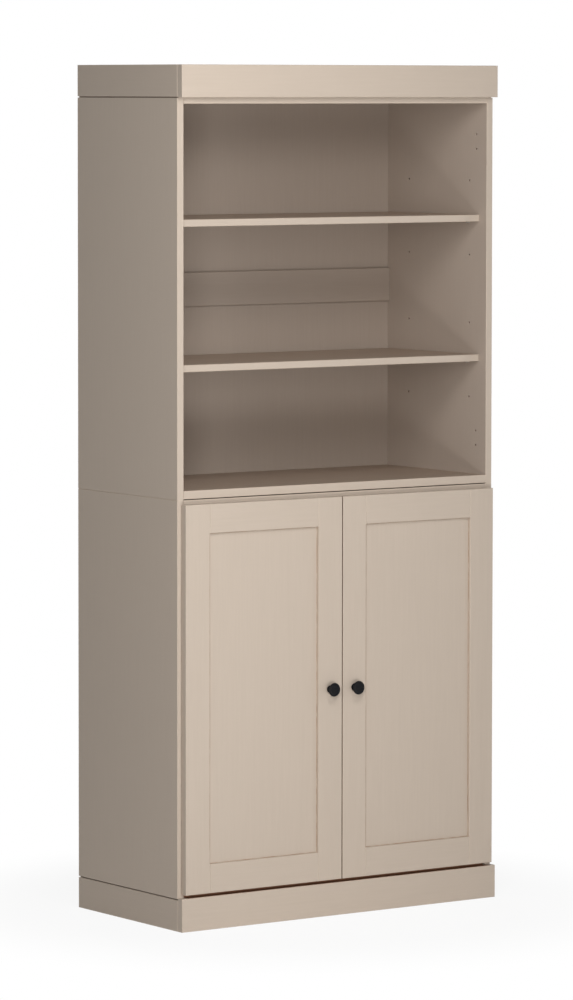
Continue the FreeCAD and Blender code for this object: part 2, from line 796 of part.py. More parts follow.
box_group("board_tenons", ("board_tenon_length", "tenon_width", "tenon_thickness"),
          [(left_corner(hand, "inner_x + tenon_side_depth - tenon_end_gap", "board_tenon_length"),
            f"front_y + {setback} - tenon_width / 2",
            f"{board_middle(label)} - tenon_thickness / 2")
           for label in FIXED_BOARDS
           for setback in TENON_SETBACKS
           for hand in (LEFT, RIGHT)])

box_group("stacking_tenons", ("tenon_thickness", "tenon_width", "stacking_tenon_length"),
          [(f"{hand} * (outer_x - carcass_board / 2) - tenon_thickness / 2",
            f"front_y + {setback} - tenon_width / 2",
            "mid_z - stacking_tenon_length / 2")
           for hand in (LEFT, RIGHT)
           for setback in STACKING_SETBACKS])


def corner_blocks(label, z, rear_corners):
    """Square glue blocks in the inner corners of a frame."""
    inner = "outer_x - frame_side_board"
    corners = [(left_corner(hand, inner, "corner_block"), "front_y", z)
               for hand in (LEFT, RIGHT)]
    if rear_corners:
        corners += [(x, "back_y - frame_side_board - corner_block", z) for x, y, z in corners]
    box_group(label, ("corner_block", "corner_block", "corner_block_height"), corners)


corner_blocks("crown_corner_blocks", "upper_side_top + upper_top_rise", rear_corners=False)
corner_blocks("plinth_corner_blocks", "plinth_height - corner_block_height", rear_corners=True)

box_group("door_bumpers", ("bumper", "bumper_thickness", "bumper"),
          [(f"{hand} * bumper_from_middle - bumper / 2", "front_y - bumper_thickness",
            "(door_top + lower_top_under) / 2 - bumper / 2") for hand in (LEFT, RIGHT)])

# Shelf pin: a plain peg, its free end towards +X cut flat on top, where the shelf rests.
shelf_pin = new_body("shelf_pin", exported=False)
pin_sketch = new_sketch(shelf_pin, "YZ", "-pin_peg_length")
circle(pin_sketch, "0", "0", "pin_diameter")
extrude(shelf_pin, "YZ", pin_sketch, "pin_peg_length + pin_reach", 1)
flat_sketch = new_sketch(shelf_pin, "YZ", "pin_reach", ("-pin_hole / 2", "pin_seat_rise"))
rectangle(flat_sketch, "0", "0", "pin_hole", "pin_hole")
extrude(shelf_pin, "YZ", flat_sketch, "pin_reach", -1, cut=True)
group("shelf_pins", [
    (shelf_pin, STRAIGHT if hand == LEFT else HALF_TURN,
     (f"{hand} * inner_x", f"front_y + {column}", level))
    for level in SHELF_ROWS.values()
    for hand in (LEFT, RIGHT)
    for column in ("pin_column_setback", "pin_column_setback + pin_column_pitch")])


# ---------------------------------------------------------------- check and write

doc.recompute()
failed = [thing.Label for thing in doc.Objects
          if "Invalid" in thing.State or "Error" in thing.State]
for thing in doc.Objects:
    if thing.isDerivedFrom("PartDesign::Pocket"):
        if thing.Shape.Volume >= thing.BaseFeature.Shape.Volume - 1e-6:
            failed.append(f"{thing.Label} cuts nothing")
for sub_part in sub_parts:
    if sub_part.Shape.isNull() or not sub_part.Shape.isValid():
        failed.append(f"{sub_part.Label} has no valid shape")
if failed:
    raise RuntimeError("; ".join(failed))

os.makedirs("parts", exist_ok=True)
for sub_part in sub_parts:
    sub_part.Shape.exportStep(f"parts/{sub_part.Label}.step")
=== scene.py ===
import math

import bmesh
import bpy
from mathutils import Matrix, Vector


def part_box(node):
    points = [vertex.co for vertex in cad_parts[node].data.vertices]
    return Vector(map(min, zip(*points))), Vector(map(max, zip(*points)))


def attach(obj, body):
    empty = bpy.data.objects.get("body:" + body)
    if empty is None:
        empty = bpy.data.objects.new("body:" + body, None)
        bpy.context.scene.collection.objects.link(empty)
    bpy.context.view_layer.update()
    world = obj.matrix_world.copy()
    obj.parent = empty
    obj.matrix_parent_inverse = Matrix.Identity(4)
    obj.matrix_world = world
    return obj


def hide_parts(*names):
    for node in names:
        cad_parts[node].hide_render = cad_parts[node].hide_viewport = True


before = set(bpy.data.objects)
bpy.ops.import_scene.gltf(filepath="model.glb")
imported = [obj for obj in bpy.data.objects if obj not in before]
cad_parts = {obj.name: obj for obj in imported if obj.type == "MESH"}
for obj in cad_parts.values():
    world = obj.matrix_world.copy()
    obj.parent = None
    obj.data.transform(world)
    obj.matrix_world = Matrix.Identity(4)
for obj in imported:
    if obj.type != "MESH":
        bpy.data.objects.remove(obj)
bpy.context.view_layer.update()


# ---------------------------------------------------------------- camera
# A long lens from the front left, a little above the object's shoulder. It looks down only a
# little and is shifted for the rest, so the upright edges stay nearly parallel.

PICTURE_HEIGHT = 1000
FOCAL_PIXELS = 4992.6
SENSOR_SIZE = 36.0
LENS_SHIFT = -0.1
SIGHT_ENDS = 100.0
CAMERA_PLACE = (-6.2335, -8.8718, 1.7801)
TURNED_RIGHT = 35.040
TILTED_DOWN = 3.577
ROLLED = 0.0593

camera_data = bpy.data.cameras.new("camera")
camera_data.sensor_width = SENSOR_SIZE
camera_data.lens = FOCAL_PIXELS / PICTURE_HEIGHT * SENSOR_SIZE
camera_data.shift_y = LENS_SHIFT
camera_data.clip_end = SIGHT_ENDS
camera = bpy.data.objects.new("camera", camera_data)
bpy.context.scene.collection.objects.link(camera)
camera.location = CAMERA_PLACE
camera.rotation_euler = (
    Matrix.Rotation(math.radians(-TURNED_RIGHT), 3, "Z")
    @ Matrix.Rotation(math.radians(90.0 - TILTED_DOWN), 3, "X")
    @ Matrix.Rotation(math.radians(ROLLED), 3, "Z")).to_euler()
bpy.context.scene.camera = camera
bpy.context.scene.view_settings.view_transform = "Standard"


# ---------------------------------------------------------------- studio
# A pale floor that keeps a light shadow near the plinth and runs out into a white surround, a
# key light to the left of the front, five softboxes that fill round it and a dim even sky.

WHITE = (1.0, 1.0, 1.0, 1.0)
PAPER = (0.86, 0.86, 0.86, 1.0)
SKY_STRENGTH = 0.05
FLOOR_SIZE = 40.0
FLOOR_DROP = 0.0004
SHADOW_KEPT = 0.10
SHADOW_ENDS = (0.50, 0.95)
PLINTH_BOARD = 0.016


def add_node(tree, kind, sockets=None, **settings):
    """A node with its properties set, and each socket named or numbered linked or filled."""
    made = tree.nodes.new(kind)
    for name, setting in settings.items():
        setattr(made, name, setting)
    for socket, source in (sockets or {}).items():
        if isinstance(source, bpy.types.NodeSocket):
            tree.links.new(source, made.inputs[socket])
        else:
            made.inputs[socket].default_value = source
    return made


def calculate(tree, operation, *numbers):
    """The result of an operation on one or two numbers, each a socket or a plain value."""
    return add_node(tree, "ShaderNodeMath", dict(enumerate(numbers)),
                    operation=operation).outputs[0]


def calculate_vector(tree, operation, *vectors):
    """The result of an operation on one or two vectors, each a socket or a plain value."""
    return add_node(tree, "ShaderNodeVectorMath", dict(enumerate(vectors)),
                    operation=operation).outputs["Vector"]


def axes_of(tree, vector):
    return add_node(tree, "ShaderNodeSeparateXYZ", {0: vector}).outputs


def remap(tree, value, old_range, new_range=(0.0, 1.0), curve="LINEAR"):
    """A value stretched from one range to another and kept within it."""
    return add_node(tree, "ShaderNodeMapRange", {
        "Value": value, "From Min": old_range[0], "From Max": old_range[1],
        "To Min": new_range[0], "To Max": new_range[1]}, interpolation_type=curve).outputs[0]


def object_place(tree):
    return add_node(tree, "ShaderNodeTexCoord").outputs["Object"]


def clear_node_tree(owner):
    owner.use_nodes = True
    owner.node_tree.nodes.clear()
    return owner.node_tree


def new_material(name):
    """A new material and its node tree, empty."""
    material = bpy.data.materials.new(name)
    return material, clear_node_tree(material)


def show_shader(tree, shader):
    add_node(tree, "ShaderNodeOutputMaterial", {"Surface": shader.outputs[0]})


def seen_directly(tree):
    """1 for what the camera sees itself or in a mirror-like or clear surface, else 0."""
    path = add_node(tree, "ShaderNodeLightPath").outputs
    camera_or_gloss = calculate(tree, "MAXIMUM", path["Is Camera Ray"], path["Is Glossy Ray"])
    return calculate(tree, "MAXIMUM", camera_or_gloss, path["Is Transmission Ray"])


world = bpy.data.worlds.new("studio")
bpy.context.scene.world = world
sky = clear_node_tree(world)
even_light = add_node(sky, "ShaderNodeBackground", {"Color": WHITE, "Strength": SKY_STRENGTH})
white_surround = add_node(sky, "ShaderNodeBackground", {"Color": WHITE, "Strength": 1.0})
either = add_node(sky, "ShaderNodeMixShader", {
    0: seen_directly(sky), 1: even_light.outputs[0], 2: white_surround.outputs[0]})
add_node(sky, "ShaderNodeOutputWorld", {"Surface": either.outputs[0]})

bpy.ops.object.select_all(action="DESELECT")
bpy.ops.mesh.primitive_plane_add(size=FLOOR_SIZE, location=(0.0, 0.0, -FLOOR_DROP))
floor = bpy.context.object
floor.name = "studio_floor"
floor_material, tree = new_material("studio floor")
paper = add_node(tree, "ShaderNodeBsdfDiffuse", {"Color": PAPER})
white = add_node(tree, "ShaderNodeEmission", {"Color": WHITE, "Strength": 1.0})
place = object_place(tree)
distance = add_node(tree, "ShaderNodeVectorMath", {0: place}, operation="LENGTH")
paleness = remap(tree, distance.outputs["Value"], SHADOW_ENDS, (1.0 - SHADOW_KEPT, 1.0),
                 curve="SMOOTHSTEP")

# Under the object, further in than the plinth's boards, the floor stays dark paper.
plinth_low, plinth_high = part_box("plinth_side_left")[0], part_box("plinth_side_right")[1]
under_half_size = (plinth_high - plinth_low) / 2 - Vector((PLINTH_BOARD, PLINTH_BOARD, 0.0))
from_middle = calculate_vector(tree, "SUBTRACT", place, (plinth_low + plinth_high) / 2)
outwards = calculate_vector(tree, "ABSOLUTE", from_middle)
past = axes_of(tree, calculate_vector(tree, "SUBTRACT", outwards, under_half_size))
clear_of_plinth = calculate(tree, "GREATER_THAN",
                            calculate(tree, "MAXIMUM", past["X"], past["Y"]), 0.0)
open_floor = calculate(tree, "MULTIPLY", paleness, clear_of_plinth)
only_seen = calculate(tree, "MULTIPLY", open_floor, seen_directly(tree))
show_shader(tree, add_node(tree, "ShaderNodeMixShader", {
    0: only_seen, 1: paper.outputs[0], 2: white.outputs[0]}))
floor.data.materials.append(floor_material)


def softbox(name, location, aim, size, power):
    """A rectangular area light that faces a point."""
    data = bpy.data.lights.new(name, "AREA")
    data.shape = "RECTANGLE"
    data.size, data.size_y = size
    data.energy = power
    light = bpy.data.objects.new(name, data)
    bpy.context.scene.collection.objects.link(light)
    light.location = location
    light.rotation_euler = (Vector(aim) - Vector(location)).to_track_quat("-Z", "Y").to_euler()


# Each with its place, what it faces, its width and height, and its power in watts.
softbox("key light", (-1.9, -2.3, 1.5), (0.0, 0.0, 1.1), (0.6, 1.2), 30.0)
softbox("side fill", (-2.8, -0.8, 1.6), (0.0, 0.0, 1.1), (1.0, 1.4), 4.3)
softbox("high front", (-0.6, -1.6, 2.4), (0.0, -0.2, 1.4), (1.0, 0.8), 18.4)
softbox("low front", (-0.5, -2.0, 0.25), (0.0, -0.2, 0.8), (1.0, 0.3), 11.6)
softbox("right fill", (3.6, -2.4, 1.3), (0.0, -0.2, 1.0), (1.6, 1.6), 19.8)
softbox("rear fill", (1.4, 3.4, 1.9), (0.0, 0.2, 1.0), (1.6, 1.6), 40.0)


# ---------------------------------------------------------------- carcass side panels
# Four wooden panels, drilled for shelf pins, grooved for the back and joined to the boards by
# loose tenons. Their taupe paint follows a brushed grain, which runs upright. Along the arrises
# it is lighter and warmer, partly worn thin and partly a painted highlight. The inner faces
# carry painted shade, and the insides of the pin holes are brown painted shade.

PAINT_DARK = (0.505, 0.420, 0.342, 1.0)
PAINT_LIGHT = (0.555, 0.467, 0.386, 1.0)
PAINT_CLOUD = (0.515, 0.435, 0.362, 1.0)
# Lighter and warmer along the arrises: partly worn paint, partly a painted highlight.
PAINT_WORN_AND_LIT = (0.610, 0.495, 0.390, 1.0)
# A thin brown line of painted shade along the recessed panels' edges.
PAINTED_EDGE_SHADE = (0.31, 0.19, 0.12, 1.0)
# Brown painted shade inside the pin holes.
BORE_SHADE = (0.21, 0.155, 0.115, 1.0)
# Painted shade on the faces inside the bays.
INSIDE_SHADE = (0.80, 0.79, 0.80, 1.0)
PAINT_ROUGHNESS = (0.46, 0.56)
PAINT_SHEEN = 0.35
CLOUD_STRENGTH = 0.35
PORE_STRENGTH = 0.10
# How far the lighter arris colour and the lines of painted shade reach, and the lines' strength.
WORN_AND_LIT_REACH = 0.0022
EDGE_SHADE_REACH = 0.0028
EDGE_SHADE_STRENGTH = 0.95
BORE_SKIN = 0.0006
BORE_DEPTH = 0.0135
BACK_SKIN = 0.003
INNER_X = 0.3994
EASED_FRONT = 0.0009
EVERYWHERE = 10.0
NOISE_SPAN = (0.3, 0.7)
OPEN_PORES = (0.52, 0.70)
PORE_DEPTH = 0.6
BAND_PATCHES = (0.3, 0.6)
BAND_SHARES = (0.35, 1.0)

# How much the grain is squeezed along each axis, for the three ways that it can run.
UPRIGHT = (1.0, 1.0, 0.035)
SIDEWAYS = (0.035, 1.0, 1.0)
FRONT_TO_BACK = (1.0, 0.035, 1.0)

# How far the pattern moves on with a letter of a board's name and with its top and bottom.
SHIFT_BY_NAME = 0.73
SHIFT_BY_TOP = 3.1
SHIFT_BY_BOTTOM = 2.7

# A mix of two colours has its sockets by number, because their names serve several kinds.
MIX_AMOUNT, MIX_UNDER, MIX_OVER = 0, 6, 7
MIX_RESULT = 2


def new_group(name, inputs, outputs):
    """An empty shader node group with named sockets, and its two end nodes."""
    group = bpy.data.node_groups.new(name, "ShaderNodeTree")
    for socket, kind in inputs.items():
        group.interface.new_socket(socket, in_out="INPUT", socket_type=f"NodeSocket{kind}")
    for socket, kind in outputs.items():
        group.interface.new_socket(socket, in_out="OUTPUT", socket_type=f"NodeSocket{kind}")
    return group, group.nodes.new("NodeGroupInput"), group.nodes.new("NodeGroupOutput")


def put_out(group, end, results):
    for socket, source in results.items():
        group.links.new(source, end.inputs[socket])


def place_group(tree, group, sockets):
    return add_node(tree, "ShaderNodeGroup", sockets, node_tree=group).outputs


brushed_grain, start, end = new_group(
    "brushed grain", {"Place": "Vector", "Stretch": "Vector", "Shift": "Vector"},
    {"Streaks": "Float", "Pores": "Float", "Cloud": "Float", "Height": "Float"})
moved = calculate_vector(brushed_grain, "ADD", start.outputs["Place"], start.outputs["Shift"])
along = calculate_vector(brushed_grain, "MULTIPLY", moved, start.outputs["Stretch"])
streaks = add_node(brushed_grain, "ShaderNodeTexNoise", {
    "Vector": along, "Scale": 230.0, "Detail": 3.0, "Roughness": 0.55})
pores = add_node(brushed_grain, "ShaderNodeTexNoise", {
    "Vector": along, "Scale": 1250.0, "Detail": 2.0, "Roughness": 0.5})
cloud = add_node(brushed_grain, "ShaderNodeTexNoise", {
    "Vector": moved, "Scale": 4.0, "Detail": 2.0, "Roughness": 0.5})
open_pores = remap(brushed_grain, pores.outputs["Fac"], OPEN_PORES)
pore_depth = calculate(brushed_grain, "MULTIPLY", open_pores, -PORE_DEPTH)
relief = calculate(brushed_grain, "ADD", streaks.outputs["Fac"], pore_depth)
put_out(brushed_grain, end, {"Streaks": streaks.outputs["Fac"], "Pores": open_pores,
                             "Cloud": cloud.outputs["Fac"], "Height": relief})

# How near a point of a board's skin is to one of its long or short edges: on a face one of the
# three distances to the board's sides is nought, so the second smallest of them is what counts.
# The same band carries the lighter arrises, worn and painted highlight, and the lines of painted
# shade.
edge_band, start, end = new_group(
    "edge band", {"Place": "Vector", "Centre": "Vector", "Half Size": "Vector", "Reach": "Float"},
    {"Band": "Float"})
from_centre = calculate_vector(edge_band, "SUBTRACT", start.outputs["Place"],
                               start.outputs["Centre"])
either_way = calculate_vector(edge_band, "ABSOLUTE", from_centre)
to_side = axes_of(edge_band, calculate_vector(edge_band, "SUBTRACT", start.outputs["Half Size"],
                                             either_way))
smaller = calculate(edge_band, "MINIMUM", to_side["X"], to_side["Y"])
larger = calculate(edge_band, "MAXIMUM", to_side["X"], to_side["Y"])
capped = calculate(edge_band, "MINIMUM", larger, to_side["Z"])
to_edge = calculate(edge_band, "MAXIMUM", smaller, capped)
near_edge = remap(edge_band, to_edge, (0.0, start.outputs["Reach"]), (1.0, 0.0),
                  curve="SMOOTHSTEP")
patches = add_node(edge_band, "ShaderNodeTexNoise", {
    "Vector": start.outputs["Place"], "Scale": 45.0, "Detail": 2.0})
patchy = remap(edge_band, patches.outputs["Fac"], BAND_PATCHES, BAND_SHARES)
put_out(edge_band, end, {"Band": calculate(edge_band, "MULTIPLY", near_edge, patchy)})

# Inside is 1 on the faces within a bay: nearer to the middle than a side panel's inner arris and
# behind the board's front edge. Core is 1 deeper in a side panel, where holes are bored.
inside_faces, start, end = new_group(
    "inside faces", {"Place": "Vector", "Half Width": "Float", "Front": "Float",
                     "Back": "Float"},
    {"Inside": "Float", "Core": "Float"})
axes = axes_of(inside_faces, start.outputs["Place"])
half_width_in = start.outputs["Half Width"]
from_side = calculate(inside_faces, "ABSOLUTE", axes["X"])
between_sides = calculate(inside_faces, "LESS_THAN", from_side, half_width_in)
behind_front = calculate(inside_faces, "GREATER_THAN", axes["Y"], start.outputs["Front"])
inside_bay = calculate(inside_faces, "MULTIPLY", between_sides, behind_front)
inner_skin = calculate(inside_faces, "ADD", half_width_in, BORE_SKIN)
outer_skin = calculate(inside_faces, "ADD", half_width_in, BORE_DEPTH)
past_inner = calculate(inside_faces, "GREATER_THAN", from_side, inner_skin)
within_outer = calculate(inside_faces, "LESS_THAN", from_side, outer_skin)
before_back = calculate(inside_faces, "LESS_THAN", axes["Y"], start.outputs["Back"])
core_depth = calculate(inside_faces, "MULTIPLY", past_inner, within_outer)
core_length = calculate(inside_faces, "MULTIPLY", behind_front, before_back)
core = calculate(inside_faces, "MULTIPLY", core_depth, core_length)
put_out(inside_faces, end, {"Inside": inside_bay, "Core": core})


def mix_colours(tree, amount, under, over, blend="MIX"):
    return add_node(tree, "ShaderNodeMix", {MIX_AMOUNT: amount, MIX_UNDER: under, MIX_OVER: over},
                    data_type="RGBA", blend_type=blend).outputs[MIX_RESULT]


def scaled(tree, source, factor):
    return calculate(tree, "MULTIPLY", source, factor)


def bumped(tree, height, strength, distance):
    return add_node(tree, "ShaderNodeBump", {
        "Height": height, "Strength": strength, "Distance": distance}).outputs[0]


def give_material(node, material):
    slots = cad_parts[node].data.materials
    slots.clear()
    slots.append(material)


def paint_board(node, stretch, worn_and_lit_strength=0.35, painted_shade=None, half_width=EVERYWHERE,
                front=-EVERYWHERE, bored=False, shaded_edges=None):
    """Brushed paint for one board, its grain along one axis and its own stretch of pattern.

    The arrises are lighter, partly worn paint and partly a painted highlight. A painted shade
    darkens the faces between the half width and behind the front, and a bored panel has brown
    painted shade within its holes. A thin brown line of painted shade runs along the edges of a
    box, given by two of its corners, between a lower and an upper height.
    """
    low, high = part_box(node)
    material, tree = new_material(f"brushed paint {node}")
    place = object_place(tree)
    shift = Vector((len(node) * SHIFT_BY_NAME, low.x + high.z * SHIFT_BY_TOP,
                    low.z * SHIFT_BY_BOTTOM + high.y))
    grain = place_group(tree, brushed_grain, {"Place": place, "Stretch": stretch, "Shift": shift})
    worn_and_lit = place_group(tree, edge_band, {
        "Place": place, "Centre": (low + high) / 2, "Half Size": (high - low) / 2,
        "Reach": WORN_AND_LIT_REACH})["Band"]
    colour = mix_colours(tree, grain["Streaks"], PAINT_DARK, PAINT_LIGHT)
    colour = mix_colours(tree, scaled(tree, grain["Cloud"], CLOUD_STRENGTH), colour, PAINT_CLOUD)
    colour = mix_colours(tree, scaled(tree, grain["Pores"], PORE_STRENGTH), colour, PAINT_DARK)
    colour = mix_colours(tree, scaled(tree, worn_and_lit, worn_and_lit_strength), colour, PAINT_WORN_AND_LIT)
    # Painted shade on the faces inside a bay, behind the front edge.
    if painted_shade:
        inside = place_group(tree, inside_faces, {
            "Place": place, "Half Width": half_width, "Front": front,
            "Back": high.y - BACK_SKIN})
        colour = mix_colours(tree, inside["Inside"], colour, painted_shade, "MULTIPLY")
    # Brown painted shade inside the pin holes.
    if bored:
        colour = mix_colours(tree, inside["Core"], colour, BORE_SHADE)
    # A thin brown line of painted shade along the box's edges, between the two heights.
    if shaded_edges:
        corner, far_corner, bottom, top = shaded_edges
        edge_shade = place_group(tree, edge_band, {
            "Place": place, "Centre": (corner + far_corner) / 2,
            "Half Size": (far_corner - corner) / 2, "Reach": EDGE_SHADE_REACH})["Band"]
        height = axes_of(tree, place)["Z"]
        above = calculate(tree, "GREATER_THAN", height, bottom)
        below = calculate(tree, "LESS_THAN", height, top)
        edge_shade = scaled(tree, scaled(tree, edge_shade, above), below)
        colour = mix_colours(tree, scaled(tree, edge_shade, EDGE_SHADE_STRENGTH), colour, PAINTED_EDGE_SHADE)
    show_shader(tree, add_node(tree, "ShaderNodeBsdfPrincipled", {
        "Base Color": colour,
        "Roughness": remap(tree, grain["Streaks"], NOISE_SPAN, PAINT_ROUGHNESS),
        "Normal": bumped(tree, grain["Height"], strength=0.25, distance=0.0002),
        "Specular IOR Level": PAINT_SHEEN}))
    give_material(node, material)


for stage in ("lower", "upper"):
    for hand in ("left", "right"):
        node = f"{stage}_side_{hand}"
        paint_board(node, UPRIGHT, painted_shade=INSIDE_SHADE, half_width=INNER_X,
                    front=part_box(node)[0].y + EASED_FRONT, bored=True)


# ---------------------------------------------------------------- floor, top and shelf boards
# The fixed wooden boards, tenoned between the sides, and the loose shelves on their pins. All
# are painted like the sides, with the grain from side to side and painted shade behind the
# front edge.

SHELF_SHADE = (0.69, 0.63, 0.59, 1.0)

for board in ("lower_bottom_board", "lower_top_board", "upper_bottom_board", "upper_top_board",
              "upper_shelf_high", "upper_shelf_low", "lower_shelf"):
    paint_board(board, SIDEWAYS, painted_shade=SHELF_SHADE, front=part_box(board)[0].y + EASED_FRONT)


# ---------------------------------------------------------------- back
# Thin painted sheets slid into grooves in the sides, grain upright, below and above a stiff
# rail with its grain across. Sheets and rail carry painted shade, as they sit inside the bays.

for stage in ("lower", "upper"):
    paint_board(f"{stage}_back_rail", SIDEWAYS, painted_shade=INSIDE_SHADE)
    for height_name in ("bottom", "top"):
        paint_board(f"{stage}_back_sheet_{height_name}", UPRIGHT, worn_and_lit_strength=0.0,
                    painted_shade=INSIDE_SHADE)


# ---------------------------------------------------------------- crown and plinth frames
# Painted boards with level grain, glued round the top and the foot with blocks in the corners.
# The front boards lap over the side boards, and the plinth also has a back board.

# Dark brown painted shade on the plinth front's hidden faces, seen in the slot below the doors.
SLOT_SHADE = (0.42, 0.22, 0.13, 1.0)

paint_board("crown_front", SIDEWAYS)
paint_board("plinth_front", SIDEWAYS, painted_shade=SLOT_SHADE, half_width=INNER_X,
            front=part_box("plinth_front")[0].y + EASED_FRONT)
for frame_name in ("crown", "plinth"):
    for hand in ("left", "right"):
        paint_board(f"{frame_name}_side_{hand}", FRONT_TO_BACK)
paint_board("plinth_back", SIDEWAYS)


# ---------------------------------------------------------------- slot shade strip
# A narrow dark strip under the cupboard floor, just behind the plinth's front board, that stands
# in for the shade in the slot below the doors and closes that slot to light. Its lower edges are
# bevelled, and it has the dark brown painted shade of the plinth board's hidden faces.

STRIP_HALF_LENGTH = 0.3980
STRIP_THICK = 0.0080
STRIP_HEIGHT = 0.0170
STRIP_BEVEL = 0.0010
STRIP_BEHIND_PLINTH = 0.005
STRIP_UNDER_BOARD = 0.0001
FACING = 0.9


def select_faces(chosen):
    """Selects, in the mesh being edited, the faces that pass a test of centre and normal."""
    bpy.ops.mesh.select_all(action="DESELECT")
    mesh = bmesh.from_edit_mesh(bpy.context.edit_object.data)
    for face in mesh.faces:
        if chosen(face.calc_center_median(), face.normal):
            face.select_set(True)
    mesh.select_flush_mode()
    bmesh.update_edit_mesh(bpy.context.edit_object.data)


board_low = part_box("lower_bottom_board")[0]
plinth_back_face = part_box("plinth_front")[1].y
strip_middle = Vector((0.0, plinth_back_face + STRIP_BEHIND_PLINTH + STRIP_THICK / 2,
                       board_low.z - STRIP_UNDER_BOARD - STRIP_HEIGHT / 2))
bpy.ops.object.select_all(action="DESELECT")
bpy.ops.mesh.primitive_cube_add(size=1.0, location=strip_middle)
strip = bpy.context.object
strip.name = "slot_shade_strip"
strip.scale = (2 * STRIP_HALF_LENGTH, STRIP_THICK, STRIP_HEIGHT)
bpy.ops.object.transform_apply(location=True, rotation=True, scale=True)
bpy.ops.object.mode_set(mode="EDIT")
bpy.ops.mesh.select_mode(type="FACE")
select_faces(lambda spot, normal: normal.z < -FACING)
bpy.ops.mesh.bevel(offset=STRIP_BEVEL, segments=2, affect="EDGES")
bpy.ops.object.mode_set(mode="OBJECT")
strip.data.materials.append(bpy.data.materials["brushed paint plinth_front"])
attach(strip, "carcass")


# ---------------------------------------------------------------- doors
# Five-piece doors of painted wood: grooved upright stiles, level rails tongued into them and a
# flat panel set back in the grooves. A thin brown line of painted shade runs round the panels,
# and the closing edges of the two doors carry painted shade.

# Painted shade on the doors' closing edges, and a weaker lighter arris colour there.
CLOSING_EDGE = 0.0016
CLOSING_EDGE_SHADE = (0.45, 0.39, 0.34, 1.0)
CLOSING_WORN_AND_LIT = 0.25
FAR = 1.0

for hand in ("left", "right"):
    stiles = [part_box(f"{hand}_door_stile_{place_name}") for place_name in ("inner", "outer")]
    (door_low, left_edge), (right_edge, _) = sorted(stiles, key=lambda box: box[0].x)
    rail_edges = (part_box(f"{hand}_door_rail_bottom")[1].z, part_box(f"{hand}_door_rail_top")[0].z)
    panel_low, panel_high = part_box(f"{hand}_door_panel")

    # A box that ends at the arris of the stile on the panel's left, with its other edges far off,
    # for a line of painted shade along that arris.
    arris_line = (Vector((door_low.x - FAR, door_low.y, door_low.z - FAR)),
                  Vector((left_edge.x, left_edge.y, left_edge.z + FAR)), *rail_edges)
    # Painted shade on the inner stile's closing edge; on the right door, a shade line at its arris.
    paint_board(f"{hand}_door_stile_inner", UPRIGHT, worn_and_lit_strength=CLOSING_WORN_AND_LIT,
                painted_shade=CLOSING_EDGE_SHADE, half_width=CLOSING_EDGE, front=door_low.y + EASED_FRONT,
                shaded_edges=arris_line if hand == "right" else None)
    paint_board(f"{hand}_door_stile_outer", UPRIGHT,
                shaded_edges=arris_line if hand == "left" else None)
    for height_name in ("bottom", "top"):
        paint_board(f"{hand}_door_rail_{height_name}", SIDEWAYS, worn_and_lit_strength=0.0)
    # The panel carries a thin brown line of painted shade round the frame's opening.
    paint_board(f"{hand}_door_panel", UPRIGHT, worn_and_lit_strength=0.0,
                shaded_edges=(Vector((left_edge.x, panel_low.y, rail_edges[0])),
                        Vector((right_edge.x, panel_high.y, rail_edges[1])), *rail_edges))


# ---------------------------------------------------------------- bare wood inside the joints
# Loose tenons and glue blocks of pale hardwood, cut square, unfinished and glued in. They are
# seen only when it is taken apart.

WOOD_PALE = (0.56, 0.40, 0.24, 1.0)
WOOD_DEEP = (0.40, 0.26, 0.14, 1.0)
WOOD_PORES = 0.5
WOOD_SHIFT = (0.4, 0.9, 0.2)


def bare_wood(node, stretch):
    material, tree = new_material(f"bare hardwood {node}")
    grain = place_group(tree, brushed_grain, {
        "Place": object_place(tree), "Stretch": stretch, "Shift": WOOD_SHIFT})
    colour = mix_colours(tree, grain["Streaks"], WOOD_DEEP, WOOD_PALE)
    colour = mix_colours(tree, scaled(tree, grain["Pores"], WOOD_PORES), colour, WOOD_DEEP)
    show_shader(tree, add_node(tree, "ShaderNodeBsdfPrincipled", {
        "Base Color": colour, "Roughness": 0.7,
        "Normal": bumped(tree, grain["Height"], strength=0.4, distance=0.0003)}))
    give_material(node, material)


bare_wood("board_tenons", SIDEWAYS)
for node in ("stacking_tenons", "crown_corner_blocks", "plinth_corner_blocks"):
    bare_wood(node, UPRIGHT)


# ---------------------------------------------------------------- knobs
# Turned metal knobs in a dark bronze lacquer: a base disc, a waisted neck and a round head
# with a raised rim. Each is fixed by a pan-head screw through the door's inner stile.

BRONZE_DARK = (0.006, 0.007, 0.009, 1.0)
BRONZE_RUBBED = (0.032, 0.021, 0.014, 1.0)
BRONZE_ROUGHNESS = (0.38, 0.55)
RUBBED_SPAN = (0.50, 0.80)
BRONZE_SHEEN = 0.08
KNOB_SIDES = 64
SMOOTH_UNDER = 40.0

# The turned profile, each ring as its distance out from the door's face and its radius.
KNOB_BASE = (0.0022, 0.0085)
KNOB_RINGS = ((0.0030, 0.0074), (0.0034, 0.0060), (0.0052, 0.0051), (0.0096, 0.0050),
              (0.0118, 0.0062), (0.0130, 0.0092), (0.0136, 0.0128), (0.0143, 0.0144),
              (0.0153, 0.01475), (0.0164, 0.0144), (0.0170, 0.0134), (0.0170, 0.0119),
              (0.0164, 0.0109), (0.0161, 0.0075), (0.0160, 0.0035))

bronze, tree = new_material("dark bronze lacquer")
mottle = add_node(tree, "ShaderNodeTexNoise", {
    "Vector": object_place(tree), "Scale": 420.0, "Detail": 3.0, "Roughness": 0.6}).outputs["Fac"]
show_shader(tree, add_node(tree, "ShaderNodeBsdfPrincipled", {
    "Base Color": mix_colours(tree, remap(tree, mottle, RUBBED_SPAN), BRONZE_DARK,
                              BRONZE_RUBBED),
    "Roughness": remap(tree, mottle, NOISE_SPAN, BRONZE_ROUGHNESS),
    "Normal": bumped(tree, mottle, strength=0.2, distance=0.0002),
    "Specular IOR Level": BRONZE_SHEEN}))

